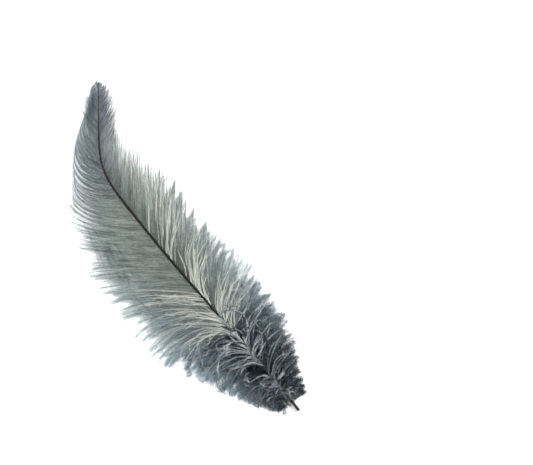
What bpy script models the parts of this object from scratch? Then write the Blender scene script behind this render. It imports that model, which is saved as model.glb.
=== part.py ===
"""A dyed ostrich drab feather, lying on a table with its upper side up.

Everything is first laid out from the cut end of the quill: +Y towards the tip, +X to the right, +Z up,
in metres. One parent empty then brings the middle of the feather's box to the origin, on the table.

A barb is one curved path that leaves the shaft. Its length and its two angles change along the shaft,
and the locks of both vanes and of the down follow those paths.
"""

import math
import random

import bmesh
import bpy
import numpy as np

NAME = "ostrich_feather"

# The shaft, seen from above: its direction swings from a little left of +Y to well right of it.
SHAFT_LENGTH = 0.3373
BASE_HEADING = math.radians(-6.5)
SWELL_HEADING = math.radians(-3.0)
TIP_HEADING = math.radians(30.0)
BEND_START = 0.69
BEND_END = 0.87
PATH_STEPS = 600

# The shaft, seen from the side: a low arch between the down and the tip.
QUILL_HEIGHT = 0.0030
TIP_HEIGHT = 0.0016
ARCH_HEIGHT = 0.0105

QUILL_RADIUS = 0.0014
TIP_RADIUS = 0.0003
TAPER_POWER = 0.85
SHAFT_POINTS = 44

# Each row: station along the shaft, barb length (both in mm), then the angle in degrees between barb
# and shaft at the barb's root and at its tip, and how late along the barb it bends.
LEFT_BARBS = (
    (8, 13, 60, 150, 1.0),
    (25, 27, 55, 150, 1.0),
    (45, 44, 45, 142, 1.0),
    (65, 59, 38, 123, 1.0),
    (85, 71, 34, 106, 1.0),
    (105, 79, 38, 84, 1.3),
    (130, 80, 44, 62, 1.5),
    (160, 76, 48, 51, 1.5),
    (195, 66, 50, 28, 2.1),
    (215, 58, 50, -8, 2.5),
    (235, 51, 52, -46, 2.4),
    (252, 44, 50, -45, 2.0),
    (275, 37, 43, -24, 1.4),
    (300, 30, 38, -8, 1.0),
    (320, 17, 28, -2, 1.0),
    (336, 4, 12, 4, 1.0),
)
RIGHT_BARBS = (
    (8, 13, 60, 140, 1.0),
    (25, 26, 55, 130, 1.0),
    (45, 40, 50, 115, 1.0),
    (65, 50, 46, 95, 1.0),
    (85, 57, 42, 75, 1.0),
    (105, 62, 38, 60, 1.3),
    (130, 64, 37, 50, 1.5),
    (160, 66, 37, 45, 1.5),
    (200, 66, 37, 38, 1.5),
    (230, 58, 38, 40, 1.5),
    (248, 50, 37, 34, 1.2),
    (262, 36, 37, 27, 1.0),
    (278, 32, 37, 25, 1.0),
    (300, 28, 36, 25, 1.0),
    (320, 18, 30, 20, 1.0),
    (336, 4, 16, 8, 1.0),
)
LEFT = -1
RIGHT = 1
BARBS = {LEFT: LEFT_BARBS, RIGHT: RIGHT_BARBS}
BARB_STEPS = 40

# The vanes: locks that are one sheet near the shaft and part into pointed fingers further out.
VANE_START = 0.0806
VANE_END = 0.3355
VANE_LOCKS = 30
VANE_CROWDING = 1.15
VANE_ROWS = (0.0, 0.12, 0.28, 0.45, 0.60, 0.70, 0.80, 0.89, 0.96, 1.0)
VANE_WEB_ROW = 4
VANE_THICKNESS = 0.0011
VANE_TIP_THICKNESS = 0.4
VANE_THIN_FROM_SHAFT = 0.055
VANE_ROOT_LIFT = 0.2
VANE_FALL_POWER = 1.7
VANE_RISE = 0.05
VANE_RISE_SPAN = 1.15
VANE_TIP_HEIGHT = 0.0005
LOCK_RIDGE = 0.0009
LOCK_RIDGE_ONSET = 6.0
LOCK_VALLEY = 0.4
LOCK_RIDGE_FADE = 0.5
LOCK_SHORTEST = 0.90
LOCK_UNEVENNESS = 0.28
LOCK_TAPER_POWER = 2.0
SHAFT_GAP = 0.00045

# The down: shorter, thicker locks that bury the foot of the shaft and rest on a flat underside.
DOWN_START = 0.008
DOWN_END = 0.0772
DOWN_LOCKS = 9
DOWN_ROWS = (0.0, 0.08, 0.20, 0.33, 0.47, 0.60, 0.73, 0.86, 1.0)
DOWN_WEB_ROW = 5
DOWN_COVER = 0.0034
DOWN_RIM_HEIGHT = 0.0018
DOWN_POINT_HEIGHT = 0.45
DOWN_FALL_POWER = 1.25
DOWN_RIDGE = 0.0016
DOWN_RIDGE_ONSET = 5.0
DOWN_VALLEY = 0.5
DOWN_RIDGE_FADE = 0.4
DOWN_FULL_LENGTH = 0.030
TUNNEL_GAP = 0.0004
TUNNEL_BELOW_QUILL = 0.01
TUNNEL_PAST_DOWN = 0.02
WELD_DISTANCE = 1e-6

# From the cut end of the quill to the middle of the feather's box, on the table.
BOX_MIDDLE = (-0.0289, 0.1639)

LOCK_SEED = 7
DOWN_SEED = 20


def smooth_step(value):
    value = np.clip(value, 0.0, 1.0)
    return value * value * (3.0 - 2.0 * value)


def shaft_path():
    """Stations along the shaft, and its x, y and heading at each."""
    step = SHAFT_LENGTH / PATH_STEPS
    share = (np.arange(PATH_STEPS) + 0.5) / PATH_STEPS
    swell = np.sin(np.pi * np.clip(share / BEND_START, 0.0, 1.0))
    bend = smooth_step((share - BEND_START) / (BEND_END - BEND_START))
    heading = BASE_HEADING + SWELL_HEADING * swell + (TIP_HEADING - BASE_HEADING) * bend
    x = np.concatenate(([0.0], np.cumsum(np.sin(heading)))) * step
    y = np.concatenate(([0.0], np.cumsum(np.cos(heading)))) * step
    station = np.linspace(0.0, SHAFT_LENGTH, PATH_STEPS + 1)
    return station, x, y, np.interp(station, share * SHAFT_LENGTH, heading)


STATIONS, PATH_X, PATH_Y, PATH_HEADING = shaft_path()


def shaft_height(station):
    share = station / SHAFT_LENGTH
    level = QUILL_HEIGHT + (TIP_HEIGHT - QUILL_HEIGHT) * share
    return level + ARCH_HEIGHT * math.sin(math.pi * share)


def shaft_radius(station):
    share = station / SHAFT_LENGTH
    return QUILL_RADIUS * (1.0 - share) ** TAPER_POWER + TIP_RADIUS * share


def barb_plan(side, station, reach, start):
    """The point at this share of a barb's length, seen from above. The barb starts beside the shaft."""
    rows = np.array(BARBS[side])
    length, root, tip, power = (
        np.interp(station * 1000.0, rows[:, 0], rows[:, column]) for column in range(1, 5)
    )
    heading = np.interp(station, STATIONS, PATH_HEADING)
    x = np.interp(station, STATIONS, PATH_X) + side * math.cos(heading) * start
    y = np.interp(station, STATIONS, PATH_Y) - side * math.sin(heading) * start
    share = (np.arange(BARB_STEPS) + 0.5) / BARB_STEPS * reach
    turn = heading + side * np.radians(root + (tip - root) * share**power)
    step = length / 1000.0 * reach / BARB_STEPS
    return x + np.sin(turn).sum() * step, y + np.cos(turn).sum() * step, length / 1000.0


def uneven_locks(span, locks, crowding, seed):
    """The stations where the locks meet, and how far each lock reaches as a share of a full barb.
    A crowding over 1 makes the first locks narrower than the last."""
    chance = random.Random(seed)
    first, last = span
    shares = np.linspace(0.0, 1.0, locks + 1)
    for lock in range(1, locks):
        shares[lock] += LOCK_UNEVENNESS / locks * chance.uniform(-1.0, 1.0)
    edges = first + (last - first) * shares**crowding
    return edges, [chance.uniform(LOCK_SHORTEST, 1.0) for _ in range(locks)]


def lock_sheet(bm, side, edges, reaches, rows, web_row, start, height, found):
    """Faces of a row of locks. The three lines of a lock are its lower edge, its ridge and its upper
    edge. Neighbours share edges up to web_row, and past it each lock narrows to its own point.
    Vertices are kept in found, so that two sheets given the same one join along the shaft."""

    def corner(lock, line, row):
        """The mesh vertex at this line and row of a lock, made when first asked for."""
        if row == 0 and start(0.0) == 0.0:
            key = ("middle", 2 * lock + line)
        elif row <= web_row:
            key = (side, 2 * lock + line, row)
        elif row == len(rows) - 1:
            key = (side, lock, "point")
        else:
            key = (side, lock, line, row)
        if key not in found:
            past_web = max(0.0, (rows[row] - rows[web_row]) / (1.0 - rows[web_row]))
            narrow = 1.0 - past_web**LOCK_TAPER_POWER
            half_width = 0.5 * (edges[lock + 1] - edges[lock])
            station = edges[lock] + half_width * (1.0 + (line - 1) * narrow)
            reach = rows[row] * (1.0 + (reaches[lock] - 1.0) * past_web)
            x, y, length = barb_plan(side, station, reach, start(station))
            z = height(station, rows[row], length, line == 1, narrow)
            found[key] = bm.verts.new((x, y, z))
        return found[key]

    for lock in range(len(reaches)):
        for line in (0, 1):
            for row in range(len(rows) - 1):
                ring = [
                    corner(lock, line, row),
                    corner(lock, line + 1, row),
                    corner(lock, line + 1, row + 1),
                    corner(lock, line, row + 1),
                ]
                bm.faces.new(list(dict.fromkeys(ring)))


def material(name, colour, roughness):
    made = bpy.data.materials.new(name)
    made.use_nodes = True
    shader = made.node_tree.nodes["Principled BSDF"]
    shader.inputs["Base Color"].default_value = (*colour, 1.0)
    shader.inputs["Roughness"].default_value = roughness
    shader.inputs["Metallic"].default_value = 0.0
    return made


def object_from(bm, name, collection, parent):
    mesh = bpy.data.meshes.new(name)
    bm.to_mesh(mesh)
    bm.free()
    made = bpy.data.objects.new(name, mesh)
    made.parent = parent
    collection.objects.link(made)
    return made


def shaft_curve(name, first, last, extra_radius):
    """A tapering round rod along the shaft, as a curve with filled caps."""
    curve = bpy.data.curves.new(name, "CURVE")
    curve.dimensions = "3D"
    curve.bevel_depth = QUILL_RADIUS
    curve.bevel_resolution = 2
    curve.use_fill_caps = True
    spline = curve.splines.new("POLY")
    spline.points.add(SHAFT_POINTS - 1)
    for point, station in zip(spline.points, np.linspace(first, last, SHAFT_POINTS)):
        x = np.interp(station, STATIONS, PATH_X)
        y = np.interp(station, STATIONS, PATH_Y)
        point.co = (x, y, shaft_height(station), 1.0)
        point.radius = (shaft_radius(station) + extra_radius) / QUILL_RADIUS
    return bpy.data.objects.new(name, curve)


def make_shaft(collection, parent):
    shaft = shaft_curve("shaft", 0.0, SHAFT_LENGTH, 0.0)
    shaft.data.materials.append(material("dark_horn", (0.055, 0.040, 0.028), 0.42))
    shaft.parent = parent
    collection.objects.link(shaft)


def vane_height(station, row, length, on_ridge, narrow):
    """Barbs leave the shaft a little upwards, arch over, and come down to the table at their tips."""
    root = shaft_height(station) + VANE_ROOT_LIFT * shaft_radius(station)
    fall = VANE_TIP_HEIGHT + (root - VANE_TIP_HEIGHT) * (1.0 - row**VANE_FALL_POWER)
    rise = VANE_RISE * length * math.sin(math.pi * min(1.0, row * VANE_RISE_SPAN))
    onset = min(1.0, row * LOCK_RIDGE_ONSET)
    ridge = LOCK_RIDGE * narrow * onset * (1.0 if on_ridge else -LOCK_VALLEY)
    return fall + rise * (1.0 - row) + ridge * (1.0 - LOCK_RIDGE_FADE * row)


def make_vane(name, side, collection, parent, finish):
    bm = bmesh.new()
    edges, reaches = uneven_locks(
        (VANE_START, VANE_END), VANE_LOCKS, VANE_CROWDING, LOCK_SEED + side
    )
    lock_sheet(
        bm,
        side,
        edges,
        reaches,
        VANE_ROWS,
        VANE_WEB_ROW,
        lambda station: shaft_radius(station) + SHAFT_GAP,
        vane_height,
        {},
    )
    if side == RIGHT:
        bmesh.ops.reverse_faces(bm, faces=bm.faces[:])
    vane = object_from(bm, name, collection, parent)
    vane.data.materials.append(finish)

    # The sheet is thickest at its roots and thins out towards the points of the locks.
    thickness = vane.vertex_groups.new(name="thickness")
    for vertex in vane.data.vertices:
        nearest = np.hypot(PATH_X - vertex.co.x, PATH_Y - vertex.co.y).min()
        share = max(0.0, 1.0 - nearest / VANE_THIN_FROM_SHAFT)
        thickness.add([vertex.index], share, "REPLACE")
    solid = vane.modifiers.new("thickness", "SOLIDIFY")
    solid.thickness = VANE_THICKNESS
    solid.offset = 0.0
    solid.vertex_group = "thickness"
    solid.thickness_vertex_group = VANE_TIP_THICKNESS


def down_height(station, row, length, on_ridge, narrow):
    """A dome that covers the shaft and falls to a low rim, with one ridge to a lock."""
    rim = DOWN_RIM_HEIGHT * (DOWN_POINT_HEIGHT if row == 1.0 else 1.0)
    top = shaft_height(station) + shaft_radius(station) + DOWN_COVER
    onset = min(1.0, row * DOWN_RIDGE_ONSET)
    ridge = DOWN_RIDGE * onset * narrow * (1.0 if on_ridge else -DOWN_VALLEY)
    fullness = min(1.0, length / DOWN_FULL_LENGTH) * (1.0 - DOWN_RIDGE_FADE * row)
    return rim + (top - rim) * (1.0 - row**DOWN_FALL_POWER) + ridge * fullness


def make_down(collection, cutters, parent):
    bm = bmesh.new()
    edges, _ = uneven_locks((DOWN_START, DOWN_END), DOWN_LOCKS, 1.0, DOWN_SEED)
    found = {}
    for side in (LEFT, RIGHT):
        _, reaches = uneven_locks((DOWN_START, DOWN_END), DOWN_LOCKS, 1.0, DOWN_SEED + side)
        lock_sheet(
            bm,
            side,
            edges,
            reaches,
            DOWN_ROWS,
            DOWN_WEB_ROW,
            lambda station: 0.0,
            down_height,
            found,
        )

    # The domed sheet is drawn down to the table, which leaves a flat underside of the same outline.
    drawn = bmesh.ops.extrude_face_region(bm, geom=bm.faces[:], use_keep_orig=True)
    for vertex in (item for item in drawn["geom"] if isinstance(item, bmesh.types.BMVert)):
        vertex.co.z = 0.0
    bmesh.ops.recalc_face_normals(bm, faces=bm.faces[:])
    down = object_from(bm, "down", collection, parent)
    down.data.materials.append(material("slate_down", (0.115, 0.150, 0.175), 0.95))

    # The quill runs through the tuft in a tunnel that clears it all round.
    tunnel_end = DOWN_END + TUNNEL_PAST_DOWN
    guide = shaft_curve("tunnel_guide", -TUNNEL_BELOW_QUILL, tunnel_end, TUNNEL_GAP)
    cutters.objects.link(guide)
    bpy.context.view_layer.update()
    graph = bpy.context.evaluated_depsgraph_get()
    tunnel_mesh = bpy.data.meshes.new_from_object(guide.evaluated_get(graph))
    bm = bmesh.new()
    bm.from_mesh(tunnel_mesh)
    bmesh.ops.remove_doubles(bm, verts=bm.verts[:], dist=WELD_DISTANCE)
    bm.to_mesh(tunnel_mesh)
    bm.free()
    tunnel = bpy.data.objects.new("tunnel", tunnel_mesh)
    tunnel.matrix_world = guide.matrix_world
    tunnel.parent = parent
    tunnel.hide_render = True
    tunnel.display_type = "WIRE"
    cutters.objects.link(tunnel)
    bpy.data.objects.remove(guide)
    cut = down.modifiers.new("tunnel", "BOOLEAN")
    cut.operation = "DIFFERENCE"
    cut.object = tunnel


def main():
    for old in list(bpy.data.objects):
        bpy.data.objects.remove(old)
    collection = bpy.data.collections.new(NAME)
    cutters = bpy.data.collections.new("cutters")
    bpy.context.scene.collection.children.link(collection)
    bpy.context.scene.collection.children.link(cutters)
    parent = bpy.data.objects.new("feather", None)
    parent.location = (-BOX_MIDDLE[0], -BOX_MIDDLE[1], 0.0)
    collection.objects.link(parent)

    make_shaft(collection, parent)
    vane_finish = material("grey_vane", (0.40, 0.43, 0.41), 0.9)
    make_vane("left_vane", LEFT, collection, parent, vane_finish)
    make_vane("right_vane", RIGHT, collection, parent, vane_finish)
    make_down(collection, cutters, parent)


main()
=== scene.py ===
"""The look of a dyed ostrich drab feather on a pale table, seen from straight above.

Every strand is laid out in vane coordinates: a station along the shaft, and a share of the way along
the barb that grows there. Numbers that go by strand are columns, and those along a strand run across.
Lengths are in metres and angles in radians, unless a comment says otherwise.
"""

import random
from collections import namedtuple

import bpy
import numpy as np
from mathutils import Matrix, Vector, kdtree
from numpy.random import default_rng

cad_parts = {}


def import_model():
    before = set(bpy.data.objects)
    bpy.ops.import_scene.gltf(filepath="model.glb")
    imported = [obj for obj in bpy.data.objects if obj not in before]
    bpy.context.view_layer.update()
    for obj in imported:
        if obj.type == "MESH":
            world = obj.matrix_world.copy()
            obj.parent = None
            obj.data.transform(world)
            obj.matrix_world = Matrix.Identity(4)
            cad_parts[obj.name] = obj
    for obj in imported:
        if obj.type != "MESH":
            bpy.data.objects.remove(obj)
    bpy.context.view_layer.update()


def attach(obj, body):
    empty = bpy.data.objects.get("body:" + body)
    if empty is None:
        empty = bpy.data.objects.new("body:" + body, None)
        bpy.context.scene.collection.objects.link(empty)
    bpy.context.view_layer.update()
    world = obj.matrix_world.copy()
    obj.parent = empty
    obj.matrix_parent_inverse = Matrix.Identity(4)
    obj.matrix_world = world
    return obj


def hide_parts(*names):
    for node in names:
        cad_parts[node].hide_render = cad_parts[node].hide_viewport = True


# --- the feather's form, as in the solids
SHAFT_LENGTH = 0.3373
BASE_HEADING = np.radians(-6.5)
SWELL_HEADING = np.radians(-3)
TIP_HEADING = np.radians(30)
BEND_START = 0.69
BEND_END = 0.87
PATH_STEPS = 600

QUILL_HEIGHT = 0.003
TIP_HEIGHT = 0.0016
ARCH_HEIGHT = 0.0105
QUILL_RADIUS = 0.0014
TIP_RADIUS = 0.0003
TAPER_POWER = 0.85

LEFT, RIGHT = -1, 1
SIDE_NAMES = {LEFT: "left", RIGHT: "right"}

# Each row: station along the shaft, barb length (both in mm), then the angle in degrees between barb
# and shaft at the barb's root and at its tip, and how late along the barb it bends.
BARBS = {
    LEFT: (
        (8, 13, 60, 150, 1), (25, 27, 55, 150, 1), (45, 44, 45, 142, 1),
        (65, 59, 38, 123, 1), (85, 71, 34, 106, 1), (105, 79, 38, 84, 1.3),
        (130, 80, 44, 62, 1.5), (160, 76, 48, 51, 1.5), (195, 66, 50, 28, 2.1),
        (215, 58, 50, -8, 2.5), (235, 51, 52, -46, 2.4), (252, 44, 50, -45, 2),
        (275, 37, 43, -24, 1.4), (300, 30, 38, -8, 1), (320, 17, 28, -2, 1),
        (336, 4, 12, 4, 1),
    ),
    RIGHT: (
        (8, 13, 60, 140, 1), (25, 26, 55, 130, 1), (45, 40, 50, 115, 1),
        (65, 50, 46, 95, 1), (85, 57, 42, 75, 1), (105, 62, 38, 60, 1.3),
        (130, 64, 37, 50, 1.5), (160, 66, 37, 45, 1.5), (200, 66, 37, 38, 1.5),
        (230, 58, 38, 40, 1.5), (248, 50, 37, 34, 1.2), (262, 36, 37, 27, 1),
        (278, 32, 37, 25, 1), (300, 28, 36, 25, 1), (320, 18, 30, 20, 1),
        (336, 4, 16, 8, 1),
    ),
}

VANE_START = 0.0806
VANE_END = 0.3355
VANE_LOCKS = 30
VANE_CROWDING = 1.15
VANE_WEB = 0.6
VANE_ROOT_LIFT = 0.2
VANE_FALL_POWER = 1.7
VANE_RISE = 0.05
VANE_RISE_SPAN = 1.15
VANE_TIP_HEIGHT = 0.0005
LOCK_SHORTEST = 0.9
LOCK_UNEVENNESS = 0.28
LOCK_SEED = 7

DOWN_START = 0.008
DOWN_END = 0.0772
DOWN_LOCKS = 9
DOWN_COVER = 0.0034
DOWN_RIM_HEIGHT = 0.0018
DOWN_FALL_POWER = 1.25
DOWN_SEED = 20

BOX_MIDDLE = (-0.0289, 0.1639)

# --- the photograph's view
PHOTO_WIDTH, PHOTO_HEIGHT = 533, 465
MM_PER_PIXEL = 0.85
QUILL_END_PIXEL = (299, 410)
PHOTO_ROLL = np.radians(31.54)
LENS_MM = 100
SENSOR_MM = 36

FLOOR_CLEARANCE = 0.00015
UP = np.array([0, 0, 1])


def clamp(value):
    return np.clip(value, 0, 1)


def smooth_step(value):
    value = clamp(value)
    return value * value * (3 - 2 * value)


def parts(steps):
    """How far along a strand each of its points is."""
    return np.linspace(0, 1, steps)


def middles(count):
    """The middles of equal steps from 0 to 1."""
    return (np.arange(count) + 0.5) / count


def unit(vectors):
    return vectors / np.maximum(np.linalg.norm(vectors, axis=-1, keepdims=True), 1e-12)


# --- the map from vane coordinates
def shaft_path():
    """Stations along the shaft, and its x, y and heading at each."""
    step = SHAFT_LENGTH / PATH_STEPS
    share = middles(PATH_STEPS)
    swell = np.sin(np.pi * clamp(share / BEND_START))
    bend = smooth_step((share - BEND_START) / (BEND_END - BEND_START))
    heading = BASE_HEADING + SWELL_HEADING * swell + (TIP_HEADING - BASE_HEADING) * bend
    x = np.concatenate(([0], np.cumsum(np.sin(heading)))) * step - BOX_MIDDLE[0]
    y = np.concatenate(([0], np.cumsum(np.cos(heading)))) * step - BOX_MIDDLE[1]
    station = np.linspace(0, SHAFT_LENGTH, PATH_STEPS + 1)
    return station, x, y, np.interp(station, share * SHAFT_LENGTH, heading)


STATIONS, *PATH = shaft_path()


def beside_shaft(side, station, offset):
    """Places offset to one side of the shaft's axis, and the axis's heading there."""
    x, y, heading = (np.interp(station, STATIONS, values) for values in PATH)
    return x + side * np.cos(heading) * offset, y - side * np.sin(heading) * offset, heading


def walk(x, y, turn, stride):
    """Paths in plan from x and y, with a stride in each direction of turn."""
    zero = np.zeros_like(x)
    x = x + np.hstack([zero, np.cumsum(np.sin(turn) * stride, axis=1)])
    y = y + np.hstack([zero, np.cumsum(np.cos(turn) * stride, axis=1)])
    return x, y


def shaft_height(station):
    share = station / SHAFT_LENGTH
    level = QUILL_HEIGHT + (TIP_HEIGHT - QUILL_HEIGHT) * share
    return level + ARCH_HEIGHT * np.sin(np.pi * share)


def shaft_radius(station):
    share = clamp(station / SHAFT_LENGTH)
    return QUILL_RADIUS * (1 - share) ** TAPER_POWER + TIP_RADIUS * share


def flank(station):
    """How far from the shaft's axis strands grow, a little inside its skin."""
    return shaft_radius(station) * 0.7


def read_rows(rows, station):
    """Values from a table by station in mm. The first of them is a length, in mm as well."""
    rows = np.array(rows, float)
    length, *rest = [np.interp(station * 1000, rows[:, 0], values) for values in rows.T[1:]]
    return length / 1000, *rest


def barb_numbers(side, station):
    """Length, root angle, tip angle and bend power of the barb at each station."""
    length, root, tip, power = read_rows(BARBS[side], station)
    return length, np.radians(root), np.radians(tip), power


MAP_STEP = 0.0005
MAP_SHARES = 64
MAP_REACH = 1.15


def vane_map(side):
    """A function for the place in plan of (station, share), read from a fine grid of barbs."""
    count = int(SHAFT_LENGTH / MAP_STEP) + 1
    station = np.arange(count)[:, None] * MAP_STEP
    length, root, tip, power = barb_numbers(side, station)
    width = MAP_REACH / MAP_SHARES
    turn = root + (tip - root) * ((np.arange(MAP_SHARES) + 0.5) * width) ** power
    x, y, heading = beside_shaft(side, station, flank(station))
    grids = walk(x, y, heading + side * turn, length * width)

    def plan(station, share):
        across = np.clip(station / MAP_STEP, 0, count - 1.001)
        along = np.clip(share / MAP_REACH * MAP_SHARES, 0, MAP_SHARES - 0.001)
        i, j = across.astype(int), along.astype(int)
        p, q = across - i, along - j
        blend = (
            ((1 - p) * (1 - q), i, j), (p * (1 - q), i + 1, j),
            ((1 - p) * q, i, j + 1), (p * q, i + 1, j + 1),
        )
        return [sum(weight * grid[a, b] for weight, a, b in blend) for grid in grids]

    return plan


PLANS = {side: vane_map(side) for side in (LEFT, RIGHT)}


def skin_height(station):
    """The height on the shaft's flank at which strands grow."""
    return shaft_height(station) + VANE_ROOT_LIFT * shaft_radius(station)


def vane_height(side, station, share):
    """Barbs leave the shaft a little upwards, arch over, and come down to the table."""
    fall = 1 - clamp(share) ** VANE_FALL_POWER
    level = VANE_TIP_HEIGHT + (skin_height(station) - VANE_TIP_HEIGHT) * fall
    arch = np.sin(np.pi * np.minimum(1, share * VANE_RISE_SPAN))
    rise = VANE_RISE * barb_numbers(side, station)[0] * arch
    return level + rise * clamp(1 - share)


def down_top(station, share):
    """The dome of the down over the shaft's foot."""
    top = shaft_height(station) + shaft_radius(station) + DOWN_COVER
    fall = 1 - clamp(share) ** DOWN_FALL_POWER
    return DOWN_RIM_HEIGHT + (top - DOWN_RIM_HEIGHT) * fall


def down_height(side, station, share):
    """The down's dome, but rising to it from the flank of the shaft."""
    away = smooth_step(share / 0.1)
    return skin_height(station) * (1 - away) + down_top(station, share) * away


FOOT_BLEND = 0.012


def over_both(side, station, share):
    """The vane's height, or that of the down over the shaft's foot."""
    blend = smooth_step((station - DOWN_END + FOOT_BLEND / 2) / FOOT_BLEND)
    return vane_height(side, station, share) * blend + down_top(station, share) * (1 - blend)


def uneven_locks(span, locks, crowding, seed):
    """The stations where the locks meet, and how far each lock reaches as a share of a full barb."""
    draw = random.Random(seed)
    first, last = span
    shares = np.linspace(0, 1, locks + 1)
    for lock in range(1, locks):
        shares[lock] += LOCK_UNEVENNESS / locks * draw.uniform(-1, 1)
    edges = first + (last - first) * shares**crowding
    return edges, np.array([draw.uniform(LOCK_SHORTEST, 1) for _ in range(locks)])


def find_lock(edges, root):
    """The lock that each strand grows in, and the station of that lock's ridge."""
    lock = np.clip(np.searchsorted(edges, root) - 1, 0, len(edges) - 2)
    return lock, (edges[lock] + edges[lock + 1]) / 2


# --- meshes from many strands
def add_object(name, data):
    thing = bpy.data.objects.new(name, data)
    bpy.context.scene.collection.objects.link(thing)
    return thing


def mesh_piece(name, arrays, material, smooth, node):
    """A piece in place of a node of the solids, from points, blocks of faces, and uv by point."""
    points, faces, uv = arrays
    corners = [face for block in faces for face in block.reshape(-1, block.shape[-1]).tolist()]
    mesh = bpy.data.meshes.new(name)
    mesh.from_pydata(points.reshape(-1, 3).tolist(), [], corners, shade_flat=not smooth)
    layer = mesh.uv_layers.new(name="OFBake")
    order = np.concatenate([block.ravel() for block in faces])
    layer.uv.foreach_set("vector", uv.reshape(-1, 2)[order].ravel())
    mesh.materials.append(material)
    piece = add_object(name, mesh)
    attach(piece, "root")
    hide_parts(node)


TUBE_SIDES = 3
UV_SHARE_SPAN = 1.2
UV_LIMITS = (0.001, 0.999)
# How far from a strand's own line its edges, and its rows of barbules, are patterned.
EDGE_SHIFT = 0.0004
BLADE_SHIFT = 0.0003


def frames(paths):
    """Unit vectors across each path at each of its points: one level, and one square to it."""
    along = unit(np.gradient(paths, axis=1))
    side = unit(np.cross(along, UP))
    return side, np.cross(side, along)


def ring_quads(rings, sides):
    """Quads between rings of points, and the two ends of each side of a ring."""
    row = np.arange(rings - 1)[:, None] * sides
    a = np.arange(sides)
    b = (a + 1) % sides
    quads = np.stack([row + a, row + b, row + sides + b, row + sides + a], -1)
    return quads.reshape(-1, 4), a, b


def tube_mesh(paths, radii, uv):
    """Points, faces and uv of thin closed tubes, each running to a point."""
    n, m, _ = paths.shape
    side, over = (vectors[:, :-1, None] for vectors in frames(paths))
    angle = np.pi / 2 + np.arange(TUBE_SIDES) * 2 * np.pi / TUBE_SIDES
    ring = side * np.cos(angle)[:, None] + over * np.sin(angle)[:, None]
    body = paths[:, :-1, None] + ring * radii[:, :-1, None, None]
    points = np.concatenate([body.reshape(n, -1, 3), paths[:, -1:]], axis=1)
    ring_uv = np.repeat(uv[:, :-1, None], TUBE_SIDES, axis=2)
    ring_uv[..., 0] += np.cos(angle) * EDGE_SHIFT / SHAFT_LENGTH
    point_uv = np.concatenate([ring_uv.reshape(n, -1, 2), uv[:, -1:]], axis=1)
    size = points.shape[1]
    quads, a, b = ring_quads(m - 1, TUBE_SIDES)
    last = (m - 2) * TUBE_SIDES
    tips = np.stack([last + a, last + b, np.full(TUBE_SIDES, size - 1)], -1)
    first = np.arange(n)[:, None, None] * size
    return points, [block + first for block in (quads, tips, a[None, ::-1])], point_uv


def ribbon_mesh(paths, widths, roll, uv):
    """Points, faces and uv of flat ribbons, each rolled about its own line."""
    n, m, _ = paths.shape
    side, over = frames(paths)
    flat = side * np.cos(roll)[..., None] + over * np.sin(roll)[..., None]
    reach = flat * widths[..., None] * 0.5
    points = np.stack([paths - reach, paths + reach], 2)
    points[..., 2] = np.maximum(points[..., 2], FLOOR_CLEARANCE)
    edge_uv = np.repeat(uv[:, :, None], 2, axis=2)
    edge_uv[..., 0] += np.array([-1, 1]) * EDGE_SHIFT / SHAFT_LENGTH
    quads = np.arange(m - 1)[:, None] * 2 + np.array([0, 1, 3, 2])
    first = np.arange(n)[:, None, None] * (m * 2)
    return points, [quads + first], edge_uv


# The measures of a strand's barbules. spacing lies between them, and bare is the strand's share before
# the first. length goes by station; along scales it by share, and angle (degrees, with a spread of fan)
# goes by share too. lift and droop, with a spread of scatter, turn a barbule's inner and outer half up,
# and bend, with a spread of curl, turns the outer half forwards.
Fluff = namedtuple(
    "Fluff",
    "spacing bare width length along angle fan scatter curl bend lift droop thinned stretch",
    defaults=(0.3, 0, 0, None, None),
)
ALONG = (0, 0.15, 0.6, 0.9, 1)
BLADE_JITTER = 0.3
BLADE_LENGTH_SPREAD = 0.3
BLADE_ROLL_SPREAD = 0.6
BLADE_WIDTHS = (0.6, 1.4)
BLADE_PATTERN_WIDTH = 0.0006


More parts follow.
